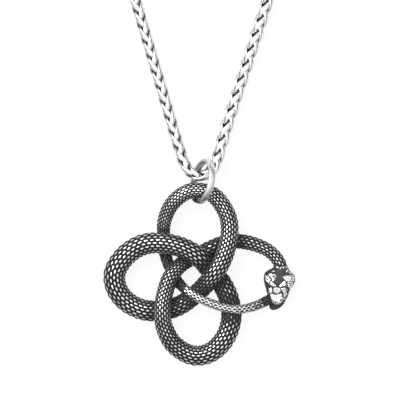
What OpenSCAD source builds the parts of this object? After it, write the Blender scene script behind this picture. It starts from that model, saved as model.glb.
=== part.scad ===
// Snake knot pendant on a wheat chain, laid out face up on a flat surface.
// The pendant's upper side points along +Y and its face looks up along +Z.
// Origin: the middle of the laid-out necklace, on the surface.

/* [Snake] */
// Thickness of the body against its width
body_flatness = 0.95; // [0.8:0.01:1]
// Number of points round the body, of which every second one is the top of a scale
body_sides = 16; // [12:2:16]
// Body rings between two rows of the route tables
rings_per_row = 6; // [4:2:6]
// How far the scales stand up from the grooves between them, where the body is 5 mm wide
scale_relief = 0.22; // [0.1:0.02:0.3]
// How far the head plates stand up from the skull
plate_relief = 0.18; // [0.1:0.02:0.3]

/* [Bail ring] */
// Outer diameter of the ring
ring_outer = 11.4; // [11.4:0.1:11.6]
// Thickness of the ring's band, from its hole to its outside
ring_thick = 1.1; // [1:0.05:1.1]
// Width of the ring's band, along its axis
ring_width = 1.7; // [1.6:0.1:1.9]
// Lean of the ring's plane from the surface, in degrees
ring_tilt = 65; // [62:1:68]
// Turn of the ring from the pendant's upright, in degrees
ring_turn = 12; // [10:1:14]

/* [Chain] */
// Width of the chain
chain_width = 3.2; // [2.8:0.1:3.2]
// Wire of the loop at each end of the chain
eye_wire = 0.7; // [0.6:0.05:0.8]
// Middle radius of the loop at each end of the chain
eye_radius = 1.15; // [1.1:0.05:1.2]

/* [Clasp] */
// Thickness of the clasp
clasp_thick = 2.2; // [1.8:0.1:2.2]
// Thickness of the clasp's tail, round its jump ring
clasp_tail_thick = 1.2; // [1:0.1:1.3]
// Radius of the clasp round its hook
clasp_hook_radius = 2.6; // [2.5:0.1:2.8]
// Radius of the opening inside the hook
clasp_opening = 1.5; // [1.4:0.05:1.6]
// Wire of the two jump rings
jump_wire = 0.8; // [0.7:0.05:0.85]

/* [Hidden] */

// Colours of the blackened casting, the polished fittings and the chain
blackened = [0.2, 0.2, 0.21];
polished = [0.8, 0.8, 0.82];
chain_steel = [0.75, 0.75, 0.77];

// Middle of the necklace in the pendant's own frame
middle = [2, 110.8];

// Body routes, head to tail. Columns: x, y, height of the centre line, width.
X = 0;
Y = 1;
Z = 2;
WIDTH = 3;
// Neck, under the two crossings of the right lobe, and over two on the lower left
neck_route = [
    [20.5, -18.0, 2.6, 3.3],
    [19.6, -15.25, 2.4, 3.3],
    [16.95, -12.55, 2.2, 3.4],
    [12.2, -10.7, 1.9, 3.7],
    [7.2, -10.4, 1.85, 3.7],
    [3.0, -12.15, 2.12, 4.4],
    [-0.95, -14.0, 2.2, 3.9],
    [-4.65, -16.1, 3.5, 3.9],
    [-7.2, -19.0, 4.8, 4.15],
    [-8.7, -23.0, 5.4, 4.2],
    [-9.4, -27.6, 5.8, 4.2]
];
// Bottom lobe and back to the middle, under the tail and the diagonal
bottom_route = [
    [-8.8, -32.0, 4.8, 4.45],
    [-6.4, -36.2, 3.6, 4.75],
    [-1.9, -38.8, 2.9, 5.0],
    [2.6, -38.1, 2.6, 5.1],
    [6.15, -34.65, 2.5, 5.15],
    [7.8, -29.8, 2.5, 5.15],
    [7.3, -25.0, 2.5, 5.15],
    [5.55, -21.05, 2.5, 5.15],
    [2.8, -17.7, 2.8, 5.2]
];
// Over two crossings, round the left lobe and under two more
left_route = [
    [0.0, -14.5, 4.8, 5.15],
    [-4.05, -12.05, 5.2, 5.15],
    [-9.0, -10.8, 4.9, 5.2],
    [-14.0, -11.1, 4.3, 5.35],
    [-18.3, -13.6, 3.6, 5.45],
    [-21.1, -17.6, 3.1, 5.55],
    [-21.1, -21.4, 2.8, 5.45],
    [-18.8, -25.0, 2.6, 5.25],
    [-14.4, -27.4, 2.55, 5.25],
    [-9.4, -27.6, 2.5, 5.1],
    [-5.2, -26.4, 2.45, 4.95],
    [-1.5, -23.9, 2.6, 4.7]
];
// Diagonal over the middle, round the top lobe and down its left side
top_route = [
    [1.3, -21.2, 4.2, 4.7],
    [3.6, -18.3, 5.9, 4.7],
    [5.6, -15.0, 6.0, 4.7],
    [7.0, -10.8, 5.6, 4.5],
    [7.4, -6.6, 5.3, 4.5],
    [6.4, -2.8, 5.3, 4.35],
    [3.7, 0.9, 5.4, 4.15],
    [0.2, 2.36, 5.6, 3.88],
    [-3.4, 1.9, 5.4, 3.95],
    [-6.9, -0.9, 4.4, 3.85],
    [-8.8, -4.9, 3.2, 3.6],
    [-9.1, -8.9, 1.9, 3.25]
];
// Tail: under the left lobe and the lower left, over two, into the mouth
tail_route = [
    [-8.75, -13.1, 1.55, 3.1],
    [-7.4, -17.2, 2.0, 2.9],
    [-5.45, -20.55, 3.2, 2.8],
    [-3.05, -22.75, 4.6, 2.4],
    [0.2, -24.7, 5.3, 2.25],
    [4.4, -26.4, 5.4, 2.3],
    [9.0, -27.3, 5.1, 2.3],
    [13.4, -26.6, 3.7, 2.4],
    [17.0, -25.0, 2.6, 2.5],
    [18.8, -23.9, 2.3, 2.3]
];
snake_route = concat(neck_route, bottom_route, left_route, top_route, tail_route);
// Rows in the middle of each lobe, where the body is parted into lengths that don't cross themselves
bottom_seam = len(neck_route) + 3;
left_seam = len(neck_route) + len(bottom_route) + 5;
top_seam = left_seam + len(left_route) - 1;
seams = [0, bottom_seam, left_seam, top_seam, len(snake_route) - 1];
// Each length goes on past its seam, a little thinner, inside the next one
tenon_scale = 0.85;
// Body width at which the scales have their full relief
full_width = 5;

// Head frame: the back of the head, the way it points, and its base height
head_at = [20.1, -16.75, 0];
head_turn = -97.7;
// Skull sections. Columns: along, left half width, right half width, floor, top.
ALONG = 0;
LEFT = 1;
RIGHT = 2;
FLOOR = 3;
TOP = 4;
skull_form = [
    [-0.6, 1.5, 1.6, 1.1, 4.0],
    [0.5, 1.9, 2.3, 0.9, 4.4],
    [1.0, 2.7, 3.0, 0.8, 4.6],
    [1.8, 3.55, 3.8, 0.7, 4.8],
    [3.0, 3.75, 4.05, 0.6, 5.0],
    [4.3, 3.5, 3.65, 0.9, 5.1],
    [5.6, 2.95, 3.0, 1.3, 5.0],
    [7.0, 2.4, 2.75, 1.9, 4.6],
    [8.3, 1.5, 2.2, 2.2, 4.4],
    [9.2, 0.6, 1.4, 2.4, 4.0]
];
skull_sides = 20;
// How square the skull's section is: 2 is an ellipse
skull_fullness = 2.6;
// Raised plates on the skull. Each is a list of corners: along, across.
crown_plate = [[-0.2, -1.0], [-0.2, 1.2], [3.2, -1.5], [3.2, 1.6], [4.5, 0]];
left_temple_plate = [[1.6, -1.9], [3.2, -1.9], [3.6, -3.0], [2.4, -3.2]];
right_temple_plate = [[1.6, 2.0], [3.0, 1.9], [3.3, 3.4], [2.1, 3.4]];
left_brow_plate = [[3.6, -1.6], [4.8, -0.3], [5.0, -1.9], [4.0, -2.7]];
right_brow_plate = [[3.6, 1.7], [4.8, 0.3], [4.9, 2.1], [3.9, 2.7]];
nose_plate = [[5.2, -0.8], [5.2, 0.6], [6.5, 0.8], [6.9, 0], [6.4, -0.9]];
left_cheek_plate = [[5.3, -2.3], [5.4, -1.3], [6.5, -1.3], [6.6, -2.0]];
right_cheek_plate = [[5.3, 1.1], [5.2, 2.3], [7.0, 2.1], [6.8, 1.2]];
snout_plate = [[7.1, -1.6], [7.1, 1.7], [8.2, 1.6], [8.8, 0.6], [8.4, -0.9]];
plate_corner = 0.22;
plate_sides = 6;
jaw_sides = 12;
// Rim of the lower jaw, seen past the snout's end. Columns: along, across, height, radius.
jaw_points = [
    [3.6, 0, 1.3, 1.2],
    [7.6, 1.6, 1.0, 0.8],
    [9.4, 0.9, 0.9, 0.8],
    [10.15, -0.4, 0.9, 0.8],
    [9.75, -0.7, 0.9, 0.8]
];
// Where the jaw's floor starts, under the snout. Same columns.
jaw_root = [5.6, 0.2, 1.1, 0.9];

// Bail ring, standing through the top lobe with its edge on the surface
ring_middle_radius = (ring_outer - ring_thick) / 2;
ring_flat = ring_width - ring_thick;
ring_rise = ring_middle_radius * sin(ring_tilt) + ring_thick / 2 + ring_flat / 2 * cos(ring_tilt);
ring_at = [0.65, 4.7, ring_rise];

// Chain route, one end to the other by way of the bail ring
chain_route = [
    [-8.5, 259.5, 1.6],
    [-15, 257.5, 1.6],
    [-28, 252, 1.6],
    [-44, 238.5, 1.6],
    [-54.5, 220.5, 1.6],
    [-58, 200, 1.6],
    [-55, 182, 1.6],
    [-49, 161.5, 1.6],
    [-40, 131, 1.6],
    [-31, 100.5, 1.6],
    [-22, 70, 1.6],
    [-16, 49.5, 1.6],
    [-10.1, 29.5, 1.6],
    [-7.2, 19.6, 1.65],
    [-5.4, 13.6, 2.1],
    [-4.3, 10.2, 3.0],
    [-3.1, 7.8, 3.7],
    [-1.1, 6.3, 3.9],
    [1.4, 6.3, 3.8],
    [3.5, 8.2, 3.3],
    [4.7, 11.4, 2.5],
    [5.7, 15.0, 1.8],
    [7.4, 20.6, 1.6],
    [10.6, 30.5, 1.6],
    [17.1, 50.5, 1.6],
    [23.6, 70.5, 1.6],
    [33.4, 100.5, 1.6],
    [43.1, 130.5, 1.6],
    [52.9, 160.5, 1.6],
    [59.5, 181, 1.6],
    [62, 200, 1.6],
    [58.5, 220.5, 1.6],
    [48, 238.5, 1.6],
    [32, 252, 1.6],
    [18, 257.7, 1.6],
    [10.2, 259.5, 1.6]
];
chain_sides = 8;
tube_radius = chain_width / 2 / cos(180 / chain_sides);
// Tube rings between two route points: one where it lies straight, more where it bends
straight_runs = [[6, 13], [22, 28]];
rings_straight = 1;
rings_in_bend = 3;
eye_segments = 12;
eye_sides = 6;

// Fastening: places along the line between the chain's two ends
fastening_y = chain_route[0][Y];
left_end_x = chain_route[0][X];
right_end_x = chain_route[len(chain_route) - 1][X];
eye_sink = 0.3;
left_eye_x = left_end_x - eye_wire / 2 + eye_sink + eye_radius;
right_eye_x = right_end_x + eye_wire / 2 - eye_sink - eye_radius;
chain_height = 1.6;
clasp_ring_slack = 0.1;
end_ring_slack = 0.35;
clasp_ring_radius = 1.9;
end_ring_radius = 2.4;
clasp_height = 2.4;
clasp_tail_radius = 1.45;
clasp_tail_hole = 0.75;
clasp_ring_x = left_eye_x + clasp_ring_radius - clasp_ring_slack;
clasp_tail_x = clasp_ring_x + clasp_ring_radius;
end_ring_x = right_eye_x - end_ring_radius + end_ring_slack;
clasp_hook_x = end_ring_x - end_ring_radius;
thumb_radius = 0.9;
gate_groove = 0.25;
gate_angle = 60;
smooth = 48;

// A place between rows b and c of a table, by a smooth curve through a, b, c and d
function through(a, b, c, d, t) =
    0.5 * (2 * b + (c - a) * t + (2 * a - 5 * b + 4 * c - d) * t * t
        + (3 * b - a - 3 * c + d) * t * t * t);
// A row at the fractional place u along a table
function along_table(table, u) =
    let (last = len(table) - 1, i = min(floor(u), last - 1))
    through(table[max(i - 1, 0)], table[i], table[i + 1], table[min(i + 2, last)], u - i);
function place3(row) = [row[X], row[Y], row[Z]];
function unit(v) = v / norm(v);
// Direction of the route at the fractional place u
function heading(table, u) =
    let (step = 0.02, last = len(table) - 1)
    unit(place3(along_table(table, min(u + step, last))) - place3(along_table(table, max(u - step, 0))));
// One ring of points across the route, level side to side
function ring_points(centre, way, half_width, half_height, sides, turn) =
    let (side = unit(cross([0, 0, 1], way)), up = cross(way, side))
    [for (k = [0:sides - 1])
        centre + side * half_width * cos(360 * k / sides + turn) + up * half_height * sin(360 * k / sides + turn)];
function round_ring(u, half) =
    let (centre = place3(along_table(snake_route, u)))
    ring_points(centre, heading(snake_route, u), half, half * body_flatness, body_sides, 0);
// Ring i of the body: every second point is a scale's top, the rest lie in the grooves between scales
function body_ring(i, scale = 1) =
    let (u = i / rings_per_row, width = along_table(snake_route, u)[WIDTH])
    let (tops = round_ring(u, width / 2 * scale))
    let (grooves = round_ring(u, (width / 2 - scale_relief * width / full_width) * scale))
    [for (k = [0:body_sides - 1]) (i + k) % 2 == 0 ? tops[k] : grooves[k]];

// A closed skin over rings that have the same even number of points.
// Its quads are split along one diagonal and the other by turns, so that each raised point is a diamond.
module skin(rings) {
    sides = len(rings[0]);
    count = len(rings);
    points = [for (ring = rings) each ring];
    walls = [
        for (i = [0:count - 2])
            for (k = [0:sides - 1])
                let (a = i * sides + k, b = i * sides + (k + 1) % sides)
                each (i + k) % 2 == 0
                    ? [[a, a + sides, b], [b, a + sides, b + sides]]
                    : [[a, a + sides, b + sides], [a, b + sides, b]]
    ];
    start_cap = [for (k = [0:sides - 1]) k];
    end_cap = [for (k = [sides - 1:-1:0]) (count - 1) * sides + k];
    polyhedron(points = points, faces = concat([start_cap], walls, [end_cap]), convexity = 10);
}

// One length of the snake's body, between two rows of its route
module body_length(first, last) {
    rings = [for (i = [first * rings_per_row:last * rings_per_row]) body_ring(i)];
    tenon = last < len(snake_route) - 1 ? [body_ring(last * rings_per_row + 1, tenon_scale)] : [];
    skin(concat(rings, tenon));
}

// A cosine or sine for the skull's squarer section
function fuller(v) = sign(v) * pow(abs(v), 2 / skull_fullness);
// Skull height above the surface at a place along and across the head
function skull_row(along) =
    let (i = max([for (k = [0:len(skull_form) - 2]) if (skull_form[k][ALONG] <= along) k]))
    let (a = skull_form[i], b = skull_form[i + 1], t = (along - a[ALONG]) / (b[ALONG] - a[ALONG]))
    a + (b - a) * t;
function skull_height(along, across) =
    let (row = skull_row(along), half = across < 0 ? row[LEFT] : row[RIGHT])
    let (mid = (row[FLOOR] + row[TOP]) / 2)
    mid + (row[TOP] - mid) * pow(max(0, 1 - pow(abs(across) / half, skull_fullness)), 1 / skull_fullness);
function skull_ring(row) =
    let (mid = (row[FLOOR] + row[TOP]) / 2, half_height = (row[TOP] - row[FLOOR]) / 2)
    [for (k = [0:skull_sides - 1])
        let (c = fuller(cos(360 * k / skull_sides)), s = fuller(sin(360 * k / skull_sides)))
        [row[ALONG], c * (c < 0 ? row[LEFT] : row[RIGHT]), mid + half_height * s]];

// One raised plate, from its corners on the skull
module head_plate(corners) {
    hull() {
        for (c = corners) {
            translate([c[0], c[1], skull_height(c[0], c[1]) + plate_relief - plate_corner])
                sphere(r = plate_corner, $fn = plate_sides);
        }
    }
}

module lower_jaw() {
    for (i = [0:len(jaw_points) - 2]) {
        hull() {
            for (p = [jaw_points[i], jaw_points[i + 1], jaw_root]) {
                translate([p[0], p[1], p[2]])
                    sphere(r = p[3], $fn = jaw_sides);
            }
        }
    }
}

module head() {
    translate(head_at)
        rotate([0, 0, head_turn]) {
            skin([for (row = skull_form) skull_ring(row)]);
            for (plate = [crown_plate, left_temple_plate, right_temple_plate, left_brow_plate,
                          right_brow_plate, nose_plate, left_cheek_plate, right_cheek_plate, snout_plate]) {
                head_plate(plate);
            }
            lower_jaw();
        }
}

// Moves a shape from the pendant's frame to the necklace's
module place() {
    translate([-middle[X], -middle[Y], 0])
        children();
}

module snake() {
    color(blackened)
        place() {
            for (i = [0:len(seams) - 2]) {
                body_length(seams[i], seams[i + 1]);
            }
            head();
        }
}

module torus(middle_radius, wire) {
    rotate_extrude($fn = 2 * smooth)
        translate([middle_radius, 0])
            circle(d = wire, $fn = smooth);
}

// Plain band ring with round edges
module bail_ring() {
    color(polished)
        place()
            translate(ring_at)
                rotate([0, 0, -ring_turn])
                    rotate([0, -ring_tilt, 0])
                        rotate_extrude($fn = 2 * smooth)
                            translate([ring_middle_radius, 0]) {
                                translate([0, ring_flat / 2])
                                    circle(d = ring_thick, $fn = smooth);
                                translate([0, -ring_flat / 2])
                                    circle(d = ring_thick, $fn = smooth);
                                square([ring_thick, ring_flat], center = true);
                            }
}

// The chain's end loop, flat on its side
module chain_eye(x) {
    translate([x, fastening_y, chain_height]) {
        for (i = [0:eye_segments - 1]) {
            hull() {
                for (k = [i, i + 1]) {
                    rotate([0, 0, 360 * k / eye_segments])
                        translate([eye_radius, 0, 0])
                            sphere(d = eye_wire, $fn = eye_sides);
                }
            }
        }
    }
}

// Places along the chain's route where the tube has a ring
function chain_steps() = [
    for (i = [0:len(chain_route) - 2])
        let (straight = [for (run = straight_runs) if (i >= run[0] && i <= run[1]) run])
        let (n = len(straight) > 0 ? rings_straight : rings_in_bend)
        for (k = [0:n - 1]) i + k / n
];

module chain() {
    color(chain_steel)
        place() {
            skin([
                for (u = concat(chain_steps(), [len(chain_route) - 1]))
                    ring_points(along_table(chain_route, u), heading(chain_route, u), tube_radius,
                                tube_radius, chain_sides, 180 / chain_sides)
            ]);
            chain_eye(left_eye_x);
            chain_eye(right_eye_x);
        }
}

// A slab of the clasp, centred on its height
module clasp_slab(thick) {
    translate([0, fastening_y, clasp_height - thick / 2])
        linear_extrude(height = thick)
            children();
}

// Clasp outline: a round hook end tapering to the tail, with a thumb knob at one side
module clasp_outline() {
    translate([clasp_hook_x, 0])
        circle(r = clasp_hook_radius, $fn = smooth);
    translate([clasp_hook_x - clasp_hook_radius, clasp_hook_radius])
        circle(r = thumb_radius, $fn = smooth);
    polygon([
        [clasp_tail_x + clasp_tail_radius, clasp_tail_radius],
        [clasp_tail_x + clasp_tail_radius, -clasp_tail_radius],
        [clasp_hook_x, -clasp_hook_radius],
        [clasp_hook_x, clasp_hook_radius]
    ]);
}

module clasp_tail() {
    difference() {
        union() {
            translate([clasp_tail_x, 0])
                circle(r = clasp_tail_radius, $fn = smooth);
            translate([clasp_tail_x + clasp_tail_radius, 0])
                square(2 * clasp_tail_radius, center = true);
        }
        translate([clasp_tail_x, 0])
            circle(r = clasp_tail_hole, $fn = smooth);
    }
}

// Shallow line on both faces where the closed lever meets the hook
module gate_line() {
    for (side = [-1, 1]) {
        translate([clasp_hook_x, fastening_y, clasp_height + side * clasp_thick / 2])
            rotate([0, 0, gate_angle])
                translate([(clasp_opening + clasp_hook_radius) / 2, 0, 0])
                    cube([2 * clasp_hook_radius - clasp_opening, gate_groove, gate_groove], center = true);
    }
}

module clasp() {
    color(polished)
        place()
            difference() {
                union() {
                    clasp_slab(clasp_thick)
                        difference() {
                            clasp_outline();
                            translate([clasp_hook_x, 0])
                                circle(r = clasp_opening, $fn = smooth);
                        }
                    clasp_slab(clasp_tail_thick)
                        clasp_tail();
                }
                gate_line();
            }
}

// A jump ring standing on its edge in line with the chain
module jump_ring(x, middle_radius) {
    color(polished)
        place()
            translate([x, fastening_y, middle_radius + jump_wire / 2])
                rotate([90, 0, 0])
                    torus(middle_radius, jump_wire);
}

module clasp_ring() {
    jump_ring(clasp_ring_x, clasp_ring_radius);
}

module end_ring() {
    jump_ring(end_ring_x, end_ring_radius);
}

snake();
bail_ring();
chain();
clasp();
clasp_ring();
end_ring();
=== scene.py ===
import math

import bpy
import numpy as np
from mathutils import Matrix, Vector


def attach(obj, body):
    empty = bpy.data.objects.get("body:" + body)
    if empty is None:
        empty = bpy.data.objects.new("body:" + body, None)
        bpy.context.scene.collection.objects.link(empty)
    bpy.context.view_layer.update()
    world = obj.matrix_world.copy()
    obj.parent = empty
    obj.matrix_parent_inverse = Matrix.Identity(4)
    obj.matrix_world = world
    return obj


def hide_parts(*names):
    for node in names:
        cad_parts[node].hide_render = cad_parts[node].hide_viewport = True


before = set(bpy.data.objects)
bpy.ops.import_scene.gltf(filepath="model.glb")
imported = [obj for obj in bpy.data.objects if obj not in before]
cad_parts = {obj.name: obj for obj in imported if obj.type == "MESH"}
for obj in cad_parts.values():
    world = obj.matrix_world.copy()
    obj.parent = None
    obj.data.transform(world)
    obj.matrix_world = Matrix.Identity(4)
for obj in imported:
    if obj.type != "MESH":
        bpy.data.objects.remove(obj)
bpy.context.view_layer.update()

# Places and sizes below are in millimetres in the pendant's own frame, whose origin is the
# photo's middle: x to the right, y up the photo, z out of the surface.
MM = 0.001
MIDDLE = np.array([2.0, 110.8, 0.0])
PX = 0.25  # one pixel of the photo, in millimetres
PHOTO_MIDDLE = 200.0

# The snake's routes, head to tail, as in the part's source: x, y, height, width
NECK_ROUTE = [
    (20.5, -18.0, 2.6, 3.3),
    (19.6, -15.25, 2.4, 3.3),
    (16.95, -12.55, 2.2, 3.4),
    (12.2, -10.7, 1.9, 3.7),
    (7.2, -10.4, 1.85, 3.7),
    (3.0, -12.15, 2.12, 4.4),
    (-0.95, -14.0, 2.2, 3.9),
    (-4.65, -16.1, 3.5, 3.9),
    (-7.2, -19.0, 4.8, 4.15),
    (-8.7, -23.0, 5.4, 4.2),
    (-9.4, -27.6, 5.8, 4.2),
]
BOTTOM_ROUTE = [
    (-8.8, -32.0, 4.8, 4.45),
    (-6.4, -36.2, 3.6, 4.75),
    (-1.9, -38.8, 2.9, 5.0),
    (2.6, -38.1, 2.6, 5.1),
    (6.15, -34.65, 2.5, 5.15),
    (7.8, -29.8, 2.5, 5.15),
    (7.3, -25.0, 2.5, 5.15),
    (5.55, -21.05, 2.5, 5.15),
    (2.8, -17.7, 2.8, 5.2),
]
LEFT_ROUTE = [
    (0.0, -14.5, 4.8, 5.15),
    (-4.05, -12.05, 5.2, 5.15),
    (-9.0, -10.8, 4.9, 5.2),
    (-14.0, -11.1, 4.3, 5.35),
    (-18.3, -13.6, 3.6, 5.45),
    (-21.1, -17.6, 3.1, 5.55),
    (-21.1, -21.4, 2.8, 5.45),
    (-18.8, -25.0, 2.6, 5.25),
    (-14.4, -27.4, 2.55, 5.25),
    (-9.4, -27.6, 2.5, 5.1),
    (-5.2, -26.4, 2.45, 4.95),
    (-1.5, -23.9, 2.6, 4.7),
]
TOP_ROUTE = [
    (1.3, -21.2, 4.2, 4.7),
    (3.6, -18.3, 5.9, 4.7),
    (5.6, -15.0, 6.0, 4.7),
    (7.0, -10.8, 5.6, 4.5),
    (7.4, -6.6, 5.3, 4.5),
    (6.4, -2.8, 5.3, 4.35),
    (3.7, 0.9, 5.4, 4.15),
    (0.2, 2.36, 5.6, 3.88),
    (-3.4, 1.9, 5.4, 3.95),
    (-6.9, -0.9, 4.4, 3.85),
    (-8.8, -4.9, 3.2, 3.6),
    (-9.1, -8.9, 1.9, 3.25),
]
TAIL_ROUTE = [
    (-8.75, -13.1, 1.55, 3.1),
    (-7.4, -17.2, 2.0, 2.9),
    (-5.45, -20.55, 3.2, 2.8),
    (-3.05, -22.75, 4.6, 2.4),
    (0.2, -24.7, 5.3, 2.25),
    (4.4, -26.4, 5.4, 2.3),
    (9.0, -27.3, 5.1, 2.3),
    (13.4, -26.6, 3.7, 2.4),
    (17.0, -25.0, 2.6, 2.5),
    (18.8, -23.9, 2.3, 2.3),
]
SNAKE_ROUTE = np.array(NECK_ROUTE + BOTTOM_ROUTE + LEFT_ROUTE + TOP_ROUTE + TAIL_ROUTE)
WIDTH = 3  # the column of the width
BODY_FLATNESS = 0.95  # the body's thickness over its width
HEADING_STEP = 0.02  # rows before and after a place that give the route's direction there
FINE_STEPS = 60  # fine places from one row of a route to the next
COARSE_STEPS = 20  # and where strands are set against each other

# Lengths of scaled skin. Each join lies hidden under a crossing.
# Columns: name, first and last row of the route, scales round the body, scale length per row
# spacing, and the half size of a scale's bright top, in cells of the scale pattern. Where that
# size is 0, the tops are worn into each other and only short dark dashes are left between them.
SKINS = [
    ("snake_neck", 0.0, 6.15, 16, 1.8, 0.3),
    ("snake_lower_body", 5.85, 29.0, 20, 1.78, 0.325),
    ("snake_upper_body", 29.0, 43.6, 20, 1.78, 0.325),
    ("snake_tail", 43.4, 53.0, 12, 2.0, 0.0),
]
SAMPLES_ROUND = 6  # mesh points for each scale round the body
SAMPLES_ALONG = 8  # and along it
SCALE_HALF_WIDE = 0.46  # a scale's half size, in row spacings
SCALE_HALF_LONG = 0.48  # and in scale lengths
SCALE_TOP = 0.03  # a scale's top over the solid's surface
SCALE_GROOVE = -0.16  # and the groove between scales, under it
TOP_SLIMNESS = 0.62  # a bright top's width over its length, in cells
DASH_HALF_WIDE = 0.48  # a dark dash's half width, in cells
DASH_HALF_LONG = 0.43  # and its half length
DASH_FAR = 2.0  # where the bright wear between dashes stops growing, in squares of their size
FULL_WIDTH = 5.0  # the body's width where the relief is as above; it goes with the width

# Patina and painted shade: a strand stays dark beside a strand that lies over it, less polished there
# and painted with that strand's shadow
OVER_STEP = 1.2  # how much higher that strand's middle lies, at least
SHADE_NEAR = -0.4  # dark as far as this from its edge
SHADE_FAR = 4.6  # and worn bright and unshaded from here on
OVER_REACH = 9.0  # strands further off than this aren't looked at
# Places made brighter in wear and painted shade, or darker where the share is below 0. Columns: x, y,
# radius, share
RUBBED = np.array([
    (-3.9, 2.5, 0.9, 0.9),
    (-0.2, 1.6, 2.0, 0.2),
    (-9.0, -7.2, 2.4, 0.6),
    (-13.5, -27.0, 2.6, 0.5),
    (-5.2, -21.2, 2.2, -0.6),
    (2.6, -11.8, 1.6, 0.5),
])
# Painted shade: the tail's end is painted dark where it goes into the mouth
MOUTH = (17.6, -24.6)
MOUTH_NEAR = 1.3  # dark as far as this from there
MOUTH_FAR = 2.9  # and free of that painted shade from here on

# The head's place and the way it points, as in the source
HEAD_AT = np.array([20.1, -16.75, 0.0])
HEAD_TURN = math.radians(-97.7)
# The skull's sections, as in the source, with one more row that rounds the snout's end.
# Columns: along, left half width, right half width, floor, top
SKULL_FORM = np.array([
    (-0.6, 1.5, 1.6, 1.1, 4.0),
    (0.5, 1.9, 2.3, 0.9, 4.4),
    (1.0, 2.7, 3.0, 0.8, 4.6),
    (1.8, 3.55, 3.8, 0.7, 4.8),
    (3.0, 3.75, 4.05, 0.6, 5.0),
    (4.3, 3.5, 3.65, 0.9, 5.1),
    (5.6, 2.95, 3.0, 1.3, 5.0),
    (7.0, 2.4, 2.75, 1.9, 4.6),
    (8.3, 1.5, 2.2, 2.2, 4.4),
    (9.2, 0.6, 1.4, 2.4, 4.0),
    (9.35, 0.25, 0.95, 2.7, 3.7),
])
# The lower jaw's rim, from under the right cheek round the snout to the tail.
# Columns: along, across, height, radius
JAW_FORM = np.array([
    (3.6, 0.0, 1.3, 1.2),
    (7.6, 1.6, 1.0, 0.8),
    (9.4, 0.9, 0.9, 0.8),
    (10.15, -0.4, 0.9, 0.8),
    (9.85, -0.75, 0.9, 0.75),
    (9.0, -1.1, 0.9, 0.7),
])
JAW_ROOT = np.array((5.6, 0.2, 1.1, 0.9))  # where the jaw's floor starts, under the snout
JAW_STEPS = 60  # mesh rings along the rim
JAW_SIDES = 28  # and points round it
JAW_END = 0.6  # how far from its ends the rim is rounded off, in rows of its table
JAW_END_LEAST = 0.02  # the least share of its section's area that is left there
JAW_FLOOR_STEPS = 10  # mesh points from the root to the rim
JAW_FLOOR_THICK = 0.85  # the floor's thickness over the rim's
JAW_RELIEF = 0.5  # share of a plate's relief, which sets how much painted shade the jaw gets

# Corners of the head's plates, in pixels of the photo
CROWN_PX = [(275, 265.5), (287, 265.5), (285.2, 271), (283.5, 275), (285.8, 278.5), (278, 286.6),
            (273.2, 281), (276.3, 277.5), (275.3, 271.5)]
BRIGHT_PLATES = {
    "left_temple": [(267.8, 274), (270.5, 273), (273.4, 274.4), (271.4, 278.2)],
    "left_side": [(265.4, 275.8), (267.2, 275), (270.5, 279.4), (268.4, 283.6), (266, 281)],
    "left_brow": [(268.8, 284), (271.4, 281.2), (276.2, 285.6), (274, 286.7), (271, 285.2)],
    "left_inner": [(271.6, 277), (274.2, 276.6), (275.6, 278), (273.4, 281.4), (271.8, 280.6)],
    "left_fleck": [(273.9, 274.3), (275.4, 274.8), (276, 276.6), (274.6, 276.2)],
    "left_rim": [(270.4, 270.9), (274.6, 270.2), (275, 271.6), (271, 272)],
    "right_temple": [(282.6, 276.8), (285.5, 275.4), (291.8, 275), (294.2, 277.6), (293.2, 281.2),
                     (286.2, 281.2)],
    "right_side": [(287, 281.8), (293, 281.6), (292.2, 285), (289.6, 289), (288.2, 287)],
    "right_brow": [(279.2, 286.1), (284.6, 280.8), (286.6, 286), (283, 286), (280.6, 287)],
    "nose": [(273.8, 288.2), (277.2, 287.6), (280.1, 288.4), (280.3, 291.9), (277, 294), (273.2, 292)],
    "left_cheek": [(268.5, 288.2), (271.4, 287.8), (272, 291), (271.2, 293), (268.8, 293.8)],
    "right_cheek": [(281.2, 288.8), (284.6, 287.4), (287.2, 289.6), (286.6, 294), (285.2, 298),
                    (283.4, 299.8), (283.8, 294)],
    "snout": [(269.9, 294.6), (273, 293.8), (276.6, 295.4), (281.4, 293.6), (283, 296.5), (282, 301.4),
              (278.6, 304), (273, 304.2), (271.2, 300)],
    "nape_dot": [(279.7, 267.6), (280.9, 267.5), (281, 269), (279.8, 269.1)],
    "nape_left": [(276.2, 266.4), (277.8, 266.6), (278.4, 267.8), (276.8, 267.4)],
    "nape_right": [(281.6, 266.5), (284, 267), (283.8, 268.2), (281.8, 267.4)],
    "nape_edge": [(284.6, 265.8), (285.8, 266), (287.2, 267.8), (286, 267.8)],
    "side_scale": [(285.5, 270.2), (287, 269.4), (288.4, 271.2), (286.2, 272.2)],
    "side_scale_low": [(288.2, 272.4), (290.4, 271.2), (292.4, 273.4), (290, 273.8)],
}
# Plates worn less bright than the rest, with the share of their polish
DULL_PLATES = {"left_rim": 0.6, "left_inner": 0.66, "side_scale": 0.85, "side_scale_low": 0.8}
# Dark pits in the bright plates. Columns: pixel x, pixel y, radius in millimetres
PITS_PX = [
    (275.4, 302.2, 0.16), (280.7, 300.2, 0.2), (282.2, 295.8, 0.2), (284, 297.2, 0.2),
    (287.3, 291.8, 0.3), (267.6, 279.8, 0.2), (276.8, 289.8, 0.16), (289.4, 283.4, 0.18),
    (291, 279, 0.13),
]
PLATE_RELIEF = 0.16  # how far a plate stands up
PLATE_FOOT = -0.2  # its slope starts here, a little outside its outline
PLATE_EDGE = 0.22  # and ends here, inside it
CROWN_FOOT = -0.05  # where the slope of the dark crown starts
POLISH_FOOT = -0.22  # where a plate's polish starts
POLISH_EDGE = 0.1  # and where it is full
UNDER_RELIEF = 0.3  # share of the relief on the skull's lower half, which has no plates; it also sets the painted shade there
PIT_DEPTH = 0.12
SKULL_FULLNESS = 2.6  # how square the skull's section is: 2 is an ellipse
HEAD_ROWS = 240  # mesh rings along the head
HEAD_SIDES = 220  # and points round it

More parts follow.
